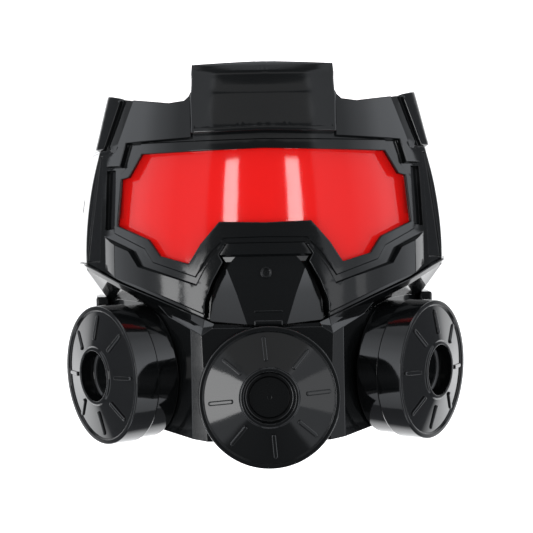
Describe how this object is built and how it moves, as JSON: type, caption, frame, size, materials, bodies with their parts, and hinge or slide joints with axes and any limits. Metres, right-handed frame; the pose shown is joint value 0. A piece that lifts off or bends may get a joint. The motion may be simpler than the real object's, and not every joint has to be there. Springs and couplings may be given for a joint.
{
  "type": "gas mask style costume mask",
  "caption": "Moulded half-shell costume mask with a raised brow, a tinted wrap visor, a nose insert, a jaw housing and round ribbed filter canisters.",
  "frame": {"origin": "middle of the mask's overall box, on the surface that its rear rim rests on", "axes": "+Z forward out of the face, +Y towards the brow, +X to the right of a viewer who faces the mask"},
  "size_m": [0.2354, 0.2318, 0.1393],
  "materials": {
    "black_shell": "glossy injection-moulded black plastic",
    "black_canister": "glossy injection-moulded black plastic",
    "red_lens": "glossy translucent red plastic sheet"
  },
  "bodies": {
    "root": {"face_shell": "black_shell", "brow_plate": "black_shell", "visor_lens": "red_lens", "lens_bracket_left": "black_shell", "lens_bracket_right": "black_shell", "nose_plate": "black_shell", "jaw_housing": "black_shell", "front_canister_base": "black_canister", "front_canister_cap": "black_canister", "left_canister_base": "black_canister", "left_canister_cap": "black_canister", "right_canister_base": "black_canister", "right_canister_cap": "black_canister"}
  },
  "joints": []
}
